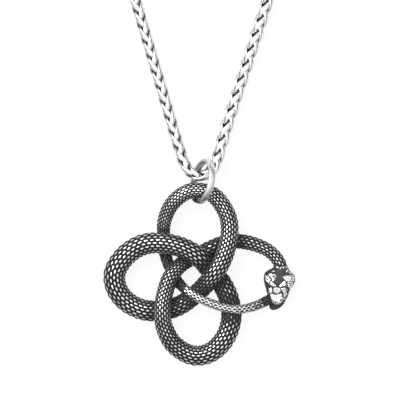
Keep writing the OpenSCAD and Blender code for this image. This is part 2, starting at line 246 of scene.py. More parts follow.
# The chain's route, left end to right end, as in the source: x, y, height
CHAIN_ROUTE = np.array([
    (-8.5, 259.5, 1.6),
    (-15, 257.5, 1.6),
    (-28, 252, 1.6),
    (-44, 238.5, 1.6),
    (-54.5, 220.5, 1.6),
    (-58, 200, 1.6),
    (-55, 182, 1.6),
    (-49, 161.5, 1.6),
    (-40, 131, 1.6),
    (-31, 100.5, 1.6),
    (-22, 70, 1.6),
    (-16, 49.5, 1.6),
    (-10.1, 29.5, 1.6),
    (-7.2, 19.6, 1.65),
    (-5.4, 13.6, 2.1),
    (-4.3, 10.2, 3.0),
    (-3.1, 7.8, 3.7),
    (-1.1, 6.3, 3.9),
    (1.4, 6.3, 3.8),
    (3.5, 8.2, 3.3),
    (4.7, 11.4, 2.5),
    (5.7, 15.0, 1.8),
    (7.4, 20.6, 1.6),
    (10.6, 30.5, 1.6),
    (17.1, 50.5, 1.6),
    (23.6, 70.5, 1.6),
    (33.4, 100.5, 1.6),
    (43.1, 130.5, 1.6),
    (52.9, 160.5, 1.6),
    (59.5, 181, 1.6),
    (62, 200, 1.6),
    (58.5, 220.5, 1.6),
    (48, 238.5, 1.6),
    (32, 252, 1.6),
    (18, 257.7, 1.6),
    (10.2, 259.5, 1.6),
])
LINK_PITCH = 3.95  # between two links of the same hand
LINK_SPARE = 1.5  # added to the chain's length when its links are counted
LINK_INSET_LEFT = 0.0  # how far inside the chain's left end its last wire lies
LINK_INSET_RIGHT = 0.22  # and inside its right end
LINK_SHIFT = 0.39  # how far the links in the chain's middle are moved towards its left end
WIRE_WIDE = 0.7  # half width of a link's wire at its sides
WIRE_WIDE_END = 0.46  # and at its ends
WIRE_DEEP = 0.42  # half thickness, towards the chain's middle
WIRE_SQUARE = 2.6  # how square its section is: 2 is an ellipse
LINK_REACH = 1.18  # from the chain's middle line to the middle of a link's wire
LINK_FULLNESS = 0.7  # how full a link's loop is: 1 is an ellipse
LINK_TWIST = 56.0  # half a link's turn from end to end, in degrees
LINK_SAMPLES = 30  # mesh rings round a link
WIRE_SIDES = 10  # and points round its wire
RING_ROW = 17.5  # where the chain passes through the ring, in rows of its route
ROLL_LEFT = -4.0  # the chain's roll on the left of the ring, in degrees
ROLL_RIGHT = 22.0  # and on its right
ROLL_SPAN = 12.0  # how far from the ring the roll changes
OPEN_REACH = 0.15  # how much further the links stand apart on the right, where they lie slack
OPEN_LIGHTER = 0.5  # how much that opening lightens the painted shade between them
OPEN_FROM = 2.0  # it begins here past the ring
OPEN_TO = 12.0  # and is full from here on
OPEN_END = 30.0  # it starts to close here before the chain's right end
OPEN_END_SPAN = 20.0  # and is closed this much further on
EYE_RADIUS = 1.15  # the round loop at each end of the chain
EYE_WIRE = 0.7
EYE_SINK = 0.3
EYE_SAMPLES = 64  # mesh rings round it
EYE_SIDES = 16  # and points round its wire

# The clasp, on the line between the chain's two ends
CLASP_HOOK_X = 4.65  # the middle of its hook
CLASP_TAIL_X = -3.7  # and of the hole in its tail
CLASP_HEIGHT = 2.4  # its middle over the surface
CLASP_HALF_THICK = 1.1
CLASP_HOOK_RADIUS = 2.6
CLASP_OPENING = 1.5  # radius inside the hook
CLASP_TAIL_RADIUS = 1.45
CLASP_TAIL_HALF_THICK = 0.6
CLASP_TAIL_HOLE = 0.75  # radius
CLASP_FULLNESS = 3.4  # how square its section is: 2 is an ellipse
CLASP_STEPS = 300  # mesh rings round each of its two holes
CLASP_SIDES = 40  # and points round each ring
LEAST_SINE = 0.01  # keeps a division off zero
THUMB_RADIUS = 0.9  # the knob at the hook's upper left
GATE_ANGLE = math.radians(60)  # where the lever ends on the hook
GATE_HALF_WIDE = 0.12  # the line there
GATE_DEPTH = 0.14

# The bail ring, as in the source
RING_MIDDLE_RADIUS = 5.15
RING_HALF_THICK = 0.55
RING_HALF_WIDE = 0.85
RING_FULLNESS = 3.2  # how square its section is: 2 is an ellipse
RING_TILT = math.radians(65.0)
RING_TURN = math.radians(12.0)
RING_AT = np.array([0.65, 4.7, 5.344])
RING_DARK_AT = math.radians(266.0)  # where the band turns under the snake and is painted dark with shade
RING_DARK_SKEW = math.radians(7.0)  # further round on the outer face than on the inner one
RING_DARK_SPAN = math.radians(19.0)
RING_DARK_PEAK = 1.4  # over 1, so that the middle of that dark place is evenly dark
RING_INNER_FULL = 0.45  # how far round from the section's side the inner face's painted shade is full
RING_SAMPLES = 180  # mesh rings round it
RING_SIDES = 36  # and points round its section

# Camera: straight over the photo's middle
CAMERA_HEIGHT = 1500.0
CAMERA_SIGHT = 10.0  # in metres
FRAME_WIDE = 100.0  # what the picture's width takes in
FRAME_PLANE = 2.5  # at this height
SENSOR = 36.0

# Light. The key light's place, its size and the floor's half width are in metres.
SKY_BRIGHTEST = (-0.03, 0.05, 1.0)  # the direction of the brightest sky
# Grey of the sky. Columns: cosine of the angle from that direction, grey
SKY_STOPS = [(0.0, 0.03), (0.2, 0.16), (0.45, 0.6), (0.7, 0.9), (0.95, 1.0)]
SKY_BLUE = 1.01  # its blue over its grey
SKY_STRENGTH = 1.3
KEY_AT = (-0.45, 0.25, 0.75)
KEY_SIZE = 0.8
KEY_POWER = 8.0
FLOOR_HALF = 3.0
FLOOR_GLOW = 0.88
FLOOR_PAINT = (0.11, 0.11, 0.112, 1.0)
FLOOR_PAINT_CLOUD = (0.118, 0.118, 0.12, 1.0)
FLOOR_CLOUDS = 3.0
FLOOR_ROUGHNESS = 0.9

# Finishes. Scales of noise are counts to the metre, and bump depths are in metres.
BLACKENED = (0.045, 0.045, 0.047, 1.0)
# Near-black painted shade: in the deepest grooves, beside the head's plates, on the jaw and where the
# ring turns under the snake
PAINTED_SHADE_BLACK = (0.004, 0.004, 0.0045, 1.0)
HEAD_RECESS_SHADE = 0.35  # the share of painted shade beside the head's plates
WORN = (0.93, 0.93, 0.94, 1.0)
STEEL = (0.8, 0.8, 0.81, 1.0)
RING_STEEL = (0.74, 0.74, 0.75, 1.0)
CLASP_STEEL = (0.72, 0.72, 0.73, 1.0)
# Painted shade on the ring's inner face
INNER_FACE_SHADE = (0.05, 0.04, 0.04, 1.0)
# Painted shade inside the chain: dark on the links' flanks, mid grey in the chain's very middle
CHAIN_FLANK_SHADE = (0.1, 0.1, 0.103, 1.0)
CHAIN_MIDDLE_SHADE = (0.35, 0.35, 0.355, 1.0)
WEAR_SHADE = 0.88  # how much darker polished steel is in its worn clouds
FITTING_ROUGHNESS = 0.08
CLASP_ROUGHNESS = 0.16
DULL_ROUGHNESS = 0.42  # blackened steel in its grooves
WORN_ROUGHNESS = 0.2  # and on its worn tops
METAL_FULL = 0.6  # polish from which blackened steel counts as bare metal
BLACKENED_GLOSS = 0.15
RING_GLOSS = 0.1
FINE_DETAIL = 2.0
GRAIN_SCALE = 9000.0  # the casting's fine grain
GRAIN_DEPTH = 0.00003
GRAIN_SHARE = 0.5
HAIRLINE_SCALE = 4000.0
HAIRLINE_DEPTH = 0.00002
HAIRLINE_SHARE = 0.25
LINE_SHARE = 0.3  # the same on the chain and on the ring
WIRE_GRAIN_SCALE = 3500.0
CLOUD_SCALE = 350.0
CLOUD_EDGE = (0.35, 0.65)  # a change starts at the first value and is complete at the second
SMUDGE_SCALE = 1200.0
SMUDGE_EDGE = (0.3, 0.7)
SMUDGE_ROUGHNESS = 0.08  # added where the steel is smudged
RECESS_SHADE_EDGE = (0.75, 0.1)  # relief where the painted shade in the grooves starts, and where it is full
TOP_EDGE = 0.45  # how soft the edge of a worn top is
DASH_EDGE = (0.7, 1.1)
PLATE_WORN = (0.45, 0.7)
RAGGED_SCALE = 2500.0  # the ragged edges of the worn tops
HEAD_RAGGED_SCALE = 1800.0
CRACK_SCALE = 1400.0  # cells between the cracks in the head's plates
CRACK_EDGE = (0.13, 0.02)  # distance from a crack's middle, in cells
CRACK_STRENGTH = 0.65
PATCH_SCALE = 900.0  # the patches that have cracks
PATCH_EDGE = (0.36, 0.52)
RAGGED_SHARE = 0.8  # how much the tops' wear changes from place to place
UNEVEN_SHARE = 0.5  # and from scale to scale
HEAD_RAGGED_SHARE = 0.7
CHAIN_BRIGHT = (0.6, 0.97)  # shares of the way out from the chain's middle
# where the painted shade goes from mid grey to dark, in the same shares
CHAIN_SHADE_SPAN = (0.2, 0.5)
CHAIN_ROUGHNESS = (0.38, 0.17)  # in the middle, and on the outside
RING_LINES = (6.0, 40.0, 1.0)  # counts of the noise round the ring, round its section and in height
RING_LINES_EDGE = (0.3, 0.7)
RING_LINES_SHADE = (0.62, 0.42, 0.35, 1.0)  # two values of the noise, and the painted shade's share there
RING_METAL = (0.3, 0.9, 1.0, 0.1)  # two shares of the painted shade, and how metallic the ring is there
RING_ROUGHNESS = (0.3, 0.4)  # bright, and in the painted shade


def through(a, b, c, d, t):
    """A place between b and c on the smooth curve through a, b, c and d."""
    square = 2 * a - 5 * b + 4 * c - d
    cube = 3 * b - a - 3 * c + d
    return 0.5 * (2 * b + (c - a) * t + square * t**2 + cube * t**3)


def along_table(table, u):
    """The rows of a table at the fractional places u."""
    last = len(table) - 1
    i = np.clip(np.floor(u).astype(int), 0, last - 1)
    before, after = np.maximum(i - 1, 0), np.minimum(i + 2, last)
    return through(table[before], table[i], table[i + 1], table[after], (u - i)[:, None])


def unit(v):
    return v / np.linalg.norm(v, axis=-1, keepdims=True)


def route_frame(table, u):
    """The route's places at u, with its side and up directions there."""
    last = len(table) - 1
    ahead = along_table(table, np.minimum(u + HEADING_STEP, last))[:, :3]
    behind = along_table(table, np.maximum(u - HEADING_STEP, 0))[:, :3]
    way = unit(ahead - behind)
    side = unit(np.cross([0.0, 0.0, 1.0], way))
    return along_table(table, u), side, np.cross(way, side)


def arc_table(table, steps=FINE_STEPS):
    """Fine places u along a route, with the length from its start to each."""
    u = np.linspace(0, len(table) - 1, (len(table) - 1) * steps + 1)
    places = along_table(table, u)[:, :3]
    lengths = np.linalg.norm(np.diff(places, axis=0), axis=1)
    return u, np.concatenate([[0.0], np.cumsum(lengths)])


def smoothstep(x, low, high):
    t = np.clip((x - low) / (high - low), 0, 1)
    return t * t * (3 - 2 * t)


def fuller(v, fullness):
    """A cosine or sine for a section squarer than an ellipse, for which fullness is 2."""
    return np.sign(v) * np.abs(v)**(2 / fullness)


def grid_faces(rows, columns):
    """Quads over rings of points, closed round each ring."""
    row = np.arange(rows - 1)[:, None] * columns
    this, after = np.arange(columns), (np.arange(columns) + 1) % columns
    corners = [row + this, row + after, row + columns + after, row + columns + this]
    return np.stack(corners, axis=-1).reshape(-1, 4)


def end_caps(rows, columns):
    """The two faces that close a grid of rings."""
    first = list(range(columns))[::-1]
    last = list(range((rows - 1) * columns, rows * columns))
    return [first, last]


def add_piece(name, points, faces, material, node, values=None):
    """A smooth mesh piece that stands for a CAD node, from points in the pendant's frame."""
    mesh = bpy.data.meshes.new(name)
    mesh.from_pydata((points - MIDDLE) * MM, [], faces)
    mesh.shade_smooth()
    for label, numbers in (values or {}).items():
        layer = mesh.attributes.new(label, "FLOAT", "POINT")
        layer.data.foreach_set("value", np.ascontiguousarray(numbers, np.float32))
    mesh.materials.append(material)
    piece = bpy.data.objects.new(name, mesh)
    bpy.context.scene.collection.objects.link(piece)
    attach(piece, "root")
    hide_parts(node)
    return piece


def add_face_map(piece, uv):
    """Stores each face corner's place on the surface."""
    layer = piece.data.uv_layers.new(name="surface")
    layer.data.foreach_set("uv", np.ascontiguousarray(uv, np.float32).ravel())


class Wiring:
    """Short calls that wire a material's nodes."""

    def __init__(self, name):
        self.material = bpy.data.materials.new(name)
        self.material.use_nodes = True
        self.nodes = self.material.node_tree.nodes
        self.links = self.material.node_tree.links
        self.shader = self.nodes["Principled BSDF"]

    def add(self, kind, **settings):
        node = self.nodes.new(kind)
        for key, value in settings.items():
            setattr(node, key, value)
        return node

    def plug(self, socket, value):
        if isinstance(value, bpy.types.NodeSocket):
            self.links.new(value, socket)
        else:
            socket.default_value = value

    def math(self, operation, *values):
        node = self.add("ShaderNodeMath", operation=operation)
        for socket, value in zip(node.inputs, values):
            self.plug(socket, value)
        return node.outputs[0]

    def ramp(self, value, low, high, to_low=0.0, to_high=1.0):
        node = self.add("ShaderNodeMapRange", interpolation_type="SMOOTHSTEP")
        for socket, number in zip(node.inputs, (value, low, high, to_low, to_high)):
            self.plug(socket, number)
        return node.outputs[0]

    def blend(self, factor, a, b):
        node = self.add("ShaderNodeMix", data_type="RGBA")
        self.plug(node.inputs[0], factor)
        self.plug(node.inputs[6], a)
        self.plug(node.inputs[7], b)
        return node.outputs[2]

    def either_way(self, value, size):
        """A change from a value between 0 and 1: half the size up or down at most."""
        return self.math("MULTIPLY_ADD", value, size, -size / 2)

    def share_squared(self, value, half):
        return self.math("POWER", self.math("ABSOLUTE", self.math("DIVIDE", value, half)), 2.0)

    def distance(self, a, half_a, b, half_b):
        """The square of a place's distance from an oval's middle: 1 on the oval."""
        return self.math("ADD", self.share_squared(a, half_a), self.share_squared(b, half_b))

    def noise(self, scale, detail=3.0, where=None):
        node = self.add("ShaderNodeTexNoise")
        self.plug(node.inputs["Vector"], where or self.place())
        node.inputs["Scale"].default_value = scale
        node.inputs["Detail"].default_value = detail
        return node.outputs["Fac"]

    def place(self):
        return self.add("ShaderNodeTexCoord").outputs["Object"]

    def surface(self):
        """The place on a piece's own map of its surface."""
        return self.add("ShaderNodeUVMap", uv_map="surface").outputs[0]

    def attribute(self, name):
        return self.add("ShaderNodeAttribute", attribute_name=name).outputs["Fac"]

    def bump(self, height, distance, strength=1.0):
        node = self.add("ShaderNodeBump")
        node.inputs["Distance"].default_value = distance
        node.inputs["Strength"].default_value = strength
        self.plug(node.inputs["Height"], height)
        self.plug(self.shader.inputs["Normal"], node.outputs[0])


def finish_blackened(w, polish, recess_shade):
    """Finishes blackened steel, where polish is 1 on worn tops and the painted shade's share is 1 in the
    deep places, which are painted dark.
    """
    dark = w.blend(recess_shade, BLACKENED, PAINTED_SHADE_BLACK)
    w.plug(w.shader.inputs["Base Color"], w.blend(polish, dark, WORN))
    w.plug(w.shader.inputs["Roughness"], w.ramp(polish, 0.0, 1.0, DULL_ROUGHNESS, WORN_ROUGHNESS))
    w.plug(w.shader.inputs["Metallic"], w.ramp(polish, 0.0, METAL_FULL))
    w.shader.inputs["Specular IOR Level"].default_value = BLACKENED_GLOSS
    w.bump(w.noise(GRAIN_SCALE, FINE_DETAIL), GRAIN_DEPTH, GRAIN_SHARE)
    return w.material


def scale_material(name, columns, top_size):
    """Blackened steel with bright scale tops, which shrink in the painted shade beside higher strands,
    and painted shade in the grooves. The surface map counts scales round and along.
    """
    w = Wiring(name)
    place = w.add("ShaderNodeSeparateXYZ")
    w.plug(place.inputs[0], w.surface())
    column = w.math("ROUND", place.outputs[0])
    across = w.math("SUBTRACT", place.outputs[0], column)
    shifted = w.math("ADD", w.math("MULTIPLY_ADD", column, -0.5, place.outputs[1]), 0.5)
    row = w.math("FLOOR", shifted)
    along = w.math("SUBTRACT", w.math("SUBTRACT", shifted, row), 0.5)
    cell = w.add("ShaderNodeCombineXYZ")
    w.plug(cell.inputs[0], w.math("FLOORED_MODULO", column, float(columns)))
    w.plug(cell.inputs[1], row)
    chance = w.add("ShaderNodeTexWhiteNoise", noise_dimensions="3D")
    w.plug(chance.inputs[0], cell.outputs[0])
    ragged = w.either_way(w.noise(RAGGED_SCALE), RAGGED_SHARE)
    uneven = w.either_way(chance.outputs[0], UNEVEN_SHARE)
    change = w.math("ADD", ragged, uneven)
    # Wear, with painted shade beside higher strands and at the mouth: the bright tops shrink there
    wear_and_shade = w.attribute("wear_and_shade")
    if top_size > 0:
        far = w.distance(across, top_size * TOP_SLIMNESS, along, top_size)
        top = w.ramp(w.math("SUBTRACT", wear_and_shade, w.math("ADD", far, change)), 0.0, TOP_EDGE)
    else:
        beside = w.math("SUBTRACT", 0.5, w.math("ABSOLUTE", along))
        far = w.distance(across, DASH_HALF_WIDE, beside, DASH_HALF_LONG)
        bright = w.math("MULTIPLY", w.math("MINIMUM", far, DASH_FAR), wear_and_shade)
        top = w.ramp(w.math("ADD", bright, change), *DASH_EDGE)
    # Painted shade, darkest in the grooves between the scales
    recess_shade = w.ramp(w.attribute("relief"), *RECESS_SHADE_EDGE)
    return finish_blackened(w, top, recess_shade)


def head_material():
    """Blackened steel with bright plates, crossed here and there by dark cracks, with painted shade
    beside the plates.
    """
    w = Wiring("blackened_head")
    ragged = w.either_way(w.noise(HEAD_RAGGED_SCALE), HEAD_RAGGED_SHARE)
    cracks = w.add("ShaderNodeTexVoronoi", feature="DISTANCE_TO_EDGE")
    w.plug(cracks.inputs["Vector"], w.place())
    cracks.inputs["Scale"].default_value = CRACK_SCALE
    patches = w.ramp(w.noise(PATCH_SCALE), *PATCH_EDGE)
    crack = w.math("MULTIPLY", w.ramp(cracks.outputs["Distance"], *CRACK_EDGE), patches)
    whole = w.math("SUBTRACT", w.attribute("polish"), w.math("MULTIPLY", crack, CRACK_STRENGTH))
    top = w.ramp(w.math("ADD", whole, ragged), *PLATE_WORN)
    # Painted shade beside the plates, on the skull's lower half and on the jaw
    recess_shade = w.ramp(w.attribute("relief"), *RECESS_SHADE_EDGE, 0.0, HEAD_RECESS_SHADE)
    return finish_blackened(w, top, recess_shade)


def polished_material(name, colour, roughness):
    """Polished steel with faint wear and hairlines."""
    w = Wiring(name)
    cloud = w.ramp(w.noise(CLOUD_SCALE), *CLOUD_EDGE)
    darker = tuple(WEAR_SHADE * c for c in colour[:3]) + (1.0,)
    w.plug(w.shader.inputs["Base Color"], w.blend(cloud, darker, colour))
    w.shader.inputs["Metallic"].default_value = 1.0
    rougher = w.ramp(w.noise(SMUDGE_SCALE), *SMUDGE_EDGE, roughness, roughness + SMUDGE_ROUGHNESS)
    w.plug(w.shader.inputs["Roughness"], rougher)
    w.bump(w.noise(HAIRLINE_SCALE, FINE_DETAIL), HAIRLINE_DEPTH, HAIRLINE_SHARE)
    return w.material


def chain_material():
    """Bright steel, dull and with painted shade that darkens it towards the chain's middle, between the
    links.
    """
    w = Wiring("chain_steel")
    outer = w.ramp(w.attribute("outer"), *CHAIN_BRIGHT)
    painted_hollow_shade = w.blend(w.ramp(w.attribute("outer"), *CHAIN_SHADE_SPAN), CHAIN_MIDDLE_SHADE, CHAIN_FLANK_SHADE)
    w.plug(w.shader.inputs["Base Color"], w.blend(outer, painted_hollow_shade, STEEL))
    w.shader.inputs["Metallic"].default_value = 1.0
    w.plug(w.shader.inputs["Roughness"], w.ramp(outer, 0.0, 1.0, *CHAIN_ROUGHNESS))
    w.bump(w.noise(WIRE_GRAIN_SCALE, FINE_DETAIL), HAIRLINE_DEPTH, LINE_SHARE)
    return w.material


def scale_relief(a, b):
    """How far up a scale's dome a place is, from 0 in the groove to 1 on top."""
    column = np.round(a)
    across = (a - column) / SCALE_HALF_WIDE
    shifted = b - column / 2 + 0.5
    along = (shifted - np.floor(shifted) - 0.5) / SCALE_HALF_LONG
    return np.sqrt(np.clip(1 - across**2 - along**2, 0, 1))


def wear_and_shade_share(centres, heights, points):
    """How worn and lit each ring's points are: less beside a strand that lies over them, with painted
    shade there and at the mouth.
    """
    over = along_table(SNAKE_ROUTE, arc_table(SNAKE_ROUTE, COARSE_STEPS)[0])
    wear_and_shade = np.ones(points.shape[:2])
    for i, (centre, height) in enumerate(zip(centres, heights)):
        level = np.hypot(over[:, 0] - centre[0], over[:, 1] - centre[1])
        higher = (over[:, 2] > height + OVER_STEP) & (level < OVER_REACH)
        if higher.any():
            gap = points[i][:, None, :2] - over[None, higher, :2]
            clear = (np.linalg.norm(gap, axis=2) - over[None, higher, WIDTH] / 2).min(axis=1)
            wear_and_shade[i] = smoothstep(clear, SHADE_NEAR, SHADE_FAR)
    for x, y, radius, share in RUBBED:
        away = np.hypot(points[..., 0] - x, points[..., 1] - y)
        wear_and_shade += share * np.exp(-(away / radius)**2)
    mouth = np.hypot(points[..., 0] - MOUTH[0], points[..., 1] - MOUTH[1])
    return wear_and_shade * smoothstep(mouth, MOUTH_NEAR, MOUTH_FAR)


def scaled_skin(name, first, last, columns, ratio, top_size):
    """A length of the snake's body, with raised scales in staggered rows."""
    # Scales are counted round the body by a and along it by b
    u_fine, run = arc_table(SNAKE_ROUTE)
    width_fine = along_table(SNAKE_ROUTE, u_fine)[:, WIDTH]
    spacing = math.pi * width_fine * (1 + BODY_FLATNESS) / 2 / columns
    steps = np.diff(run) / (ratio * (spacing[1:] + spacing[:-1]) / 2)
    counted = np.concatenate([[0.0], np.cumsum(steps)])
    start, end = np.interp([first, last], u_fine, counted)
    count = int(math.ceil((end - start) * SAMPLES_ALONG)) + 1
    b = np.linspace(start, end, count)
    u = np.interp(b, counted, u_fine)
    rows, side, up = route_frame(SNAKE_ROUTE, u)
    round_count = columns * SAMPLES_ROUND
    a = np.arange(round_count) / SAMPLES_ROUND
    angle = 2 * math.pi * a / columns
    relief = scale_relief(a[None, :], b[:, None])
    half = rows[:, WIDTH, None] / 2
    lift = (SCALE_GROOVE + (SCALE_TOP - SCALE_GROOVE) * relief) * half * 2 / FULL_WIDTH
    flat_sine = np.sin(angle) * BODY_FLATNESS
    outwards = side[:, None] * np.cos(angle)[:, None] + up[:, None] * flat_sine[:, None]
    points = rows[:, None, :3] + outwards * (half + lift)[:, :, None]
    points[..., 2] = np.maximum(points[..., 2], 0.0)
    wear_and_shade = wear_and_shade_share(rows[:, :2], rows[:, 2], points)
    faces = grid_faces(count, round_count).tolist() + end_caps(count, round_count)
    material = scale_material(name + "_steel", columns, top_size)
    values = {"relief": relief.ravel(), "wear_and_shade": wear_and_shade.ravel()}
    piece = add_piece(name, points.reshape(-1, 3), faces, material, "snake", values)
    # The surface map of each face's corners
    a_next = a + 1 / SAMPLES_ROUND
    lower, upper = b[:-1, None] + 0 * a, b[1:, None] + 0 * a
    left, right = a + 0 * lower, a_next + 0 * lower
    corners = [(left, lower), (right, lower), (right, upper), (left, upper)]
    uv = np.stack([np.stack(c, axis=-1) for c in corners], axis=2).reshape(-1, 2)
    cap_uv = np.zeros((2 * round_count, 2))
    add_face_map(piece, np.concatenate([uv, cap_uv]))


def from_photo(corners):
    """Pixels of the photo as places along and across the head, in millimetres."""
    px = np.array(corners, float)
    flat = np.stack([(px[:, 0] - PHOTO_MIDDLE) * PX, (PHOTO_MIDDLE - px[:, 1]) * PX], axis=1)
    flat -= HEAD_AT[:2]
    c, s = math.cos(HEAD_TURN), math.sin(HEAD_TURN)
    return np.stack([flat[:, 0] * c + flat[:, 1] * s, flat[:, 1] * c - flat[:, 0] * s], axis=1)


def inside_depth(corners, along, across):
    """How deep each place lies inside an outline: negative outside it."""
    nearest = np.full(along.shape, np.inf)
    inside = np.zeros(along.shape, bool)
    for (x0, y0), (x1, y1) in zip(corners, np.roll(corners, -1, axis=0)):
        edge_x, edge_y = x1 - x0, y1 - y0
        t = ((along - x0) * edge_x + (across - y0) * edge_y) / (edge_x**2 + edge_y**2)
        t = np.clip(t, 0, 1)
        nearest = np.minimum(nearest, np.hypot(along - x0 - t * edge_x, across - y0 - t * edge_y))
        crosses = (y0 > across) != (y1 > across)
        with np.errstate(divide="ignore", invalid="ignore"):
            at = x0 + (across - y0) * edge_x / edge_y
        inside ^= crosses & (along < at)
    return np.where(inside, nearest, -nearest)


def head_to_pendant(local):
    """Places along, across and up the head as places in the pendant's frame."""
    c, s = math.cos(HEAD_TURN), math.sin(HEAD_TURN)
    x = local[..., 0] * c - local[..., 1] * s
    y = local[..., 0] * s + local[..., 1] * c
    return np.stack([x, y, local[..., 2]], axis=-1) + HEAD_AT


def head(material):
    """The skull with its raised plates."""
    along = np.linspace(SKULL_FORM[0, 0], SKULL_FORM[-1, 0], HEAD_ROWS)
    rows = along_table(SKULL_FORM, np.interp(along, SKULL_FORM[:, 0], np.arange(len(SKULL_FORM))))
    angle = 2 * math.pi * np.arange(HEAD_SIDES) / HEAD_SIDES
    c, s = [fuller(v, SKULL_FULLNESS)[None, :] for v in (np.cos(angle), np.sin(angle))]
    half = np.where(c < 0, rows[:, 1, None], rows[:, 2, None])
    middle = (rows[:, 3] + rows[:, 4])[:, None] / 2
    high = (rows[:, 4] - rows[:, 3])[:, None] / 2
    across = c * half
    place = along[:, None] + 0 * across
    relief = np.zeros(across.shape)
    polish = np.zeros(across.shape)
    for name, corners in BRIGHT_PLATES.items():
        depth = inside_depth(from_photo(corners), place, across)
        relief = np.maximum(relief, smoothstep(depth, PLATE_FOOT, PLATE_EDGE))
        bright = DULL_PLATES.get(name, 1.0) * smoothstep(depth, POLISH_FOOT, POLISH_EDGE)
        polish = np.maximum(polish, bright)
    crown = inside_depth(from_photo(CROWN_PX), place, across)
    relief = np.maximum(relief, smoothstep(crown, CROWN_FOOT, PLATE_EDGE))
    for x, y, radius in PITS_PX:
        (pit_along, pit_across), = from_photo([(x, y)])
        pit = np.exp(-((place - pit_along)**2 + (across - pit_across)**2) / radius**2)
        relief -= PIT_DEPTH / PLATE_RELIEF * pit
        polish = polish * (1 - pit)
    above = s > 0
    relief = np.where(above, relief, UNDER_RELIEF)
    polish = np.where(above, polish, 0.0)
    lift = PLATE_RELIEF * relief
    steep = 2 / (SKULL_FULLNESS - 1)
    facing = [0 * across, fuller(c, steep) * high, fuller(s, steep) * half]
    normal = unit(np.stack(facing, axis=-1))
    local = np.stack([place, across, middle + high * s], axis=-1) + normal * lift[..., None]
    points = head_to_pendant(local).reshape(-1, 3)
    faces = grid_faces(HEAD_ROWS, HEAD_SIDES).tolist() + end_caps(HEAD_ROWS, HEAD_SIDES)
    values = {"relief": relief.ravel(), "polish": polish.ravel()}
    add_piece("snake_head", points, faces, material, "snake", values)


def jaw_piece(name, local, material):
    """A dark piece of the jaw, blackened and with painted shade, from rings of points in the head's
    frame.
    """
    rings, sides = local.shape[:2]
    points = head_to_pendant(local).reshape(-1, 3)
    faces = grid_faces(rings, sides).tolist() + end_caps(rings, sides)
    values = {"relief": np.full(len(points), JAW_RELIEF), "polish": np.zeros(len(points))}
    add_piece(name, points, faces, material, "snake", values)


def lower_jaw(material):
    """The jaw's rim, which shows past the snout's end."""
    u = np.linspace(0, len(JAW_FORM) - 1, JAW_STEPS)
    rows, side, up = route_frame(JAW_FORM, u)
    angle = 2 * math.pi * np.arange(JAW_SIDES) / JAW_SIDES
    radius = rows[:, 3, None, None]
    end = np.minimum(u, len(JAW_FORM) - 1 - u)
    left = 1 - np.clip(end / JAW_END, 0, 1)
    round_end = np.sqrt(np.clip(1 - left**2, JAW_END_LEAST, 1))[:, None, None]
    outwards = side[:, None] * np.cos(angle)[:, None] + up[:, None] * np.sin(angle)[:, None]
    jaw_piece("snake_jaw", rows[:, None, :3] + outwards * radius * round_end, material)


def jaw_floor(material):
    """The jaw's floor, fanned out from its root under the snout to the jaw's rim."""
    rim = along_table(JAW_FORM, np.linspace(0, len(JAW_FORM) - 1, JAW_STEPS))
    share = np.linspace(0, 1, JAW_FLOOR_STEPS)[None, :, None]
    rows = JAW_ROOT + (rim[:, None] - JAW_ROOT) * share
    lift = rows[..., 3] * JAW_FLOOR_THICK
    top, bottom = rows[..., :3].copy(), rows[..., :3].copy()
    top[..., 2] += lift
    bottom[..., 2] -= lift
    jaw_piece("snake_jaw_floor", np.concatenate([top, bottom[:, ::-1]], axis=1), material)


def eye_points(centre):
    """Rings of points for a round loop of wire that lies flat."""
    turn = 2 * math.pi * np.arange(EYE_SAMPLES) / EYE_SAMPLES
    out = np.stack([np.cos(turn), np.sin(turn), 0 * turn], axis=1)
    angle = 2 * math.pi * np.arange(EYE_SIDES) / EYE_SIDES
    ring = out[:, None] * (EYE_RADIUS + EYE_WIRE / 2 * np.cos(angle))[None, :, None]
    ring[..., 2] += EYE_WIRE / 2 * np.sin(angle)
    return ring + np.array(centre)


def closed_loops(loops, samples, sides):
    """Quads over closed loops of wire, each of samples rings with sides points."""
    loop = np.arange(loops)[:, None, None] * samples * sides
    ring = np.arange(samples)[None, :, None]
    side = np.arange(sides)[None, None, :]
    after_ring, after_side = (ring + 1) % samples, (side + 1) % sides
    corners = [loop + ring * sides + side, loop + ring * sides + after_side,
               loop + after_ring * sides + after_side, loop + after_ring * sides + side]
    return np.stack(np.broadcast_arrays(*corners), axis=-1).reshape(-1, 4)


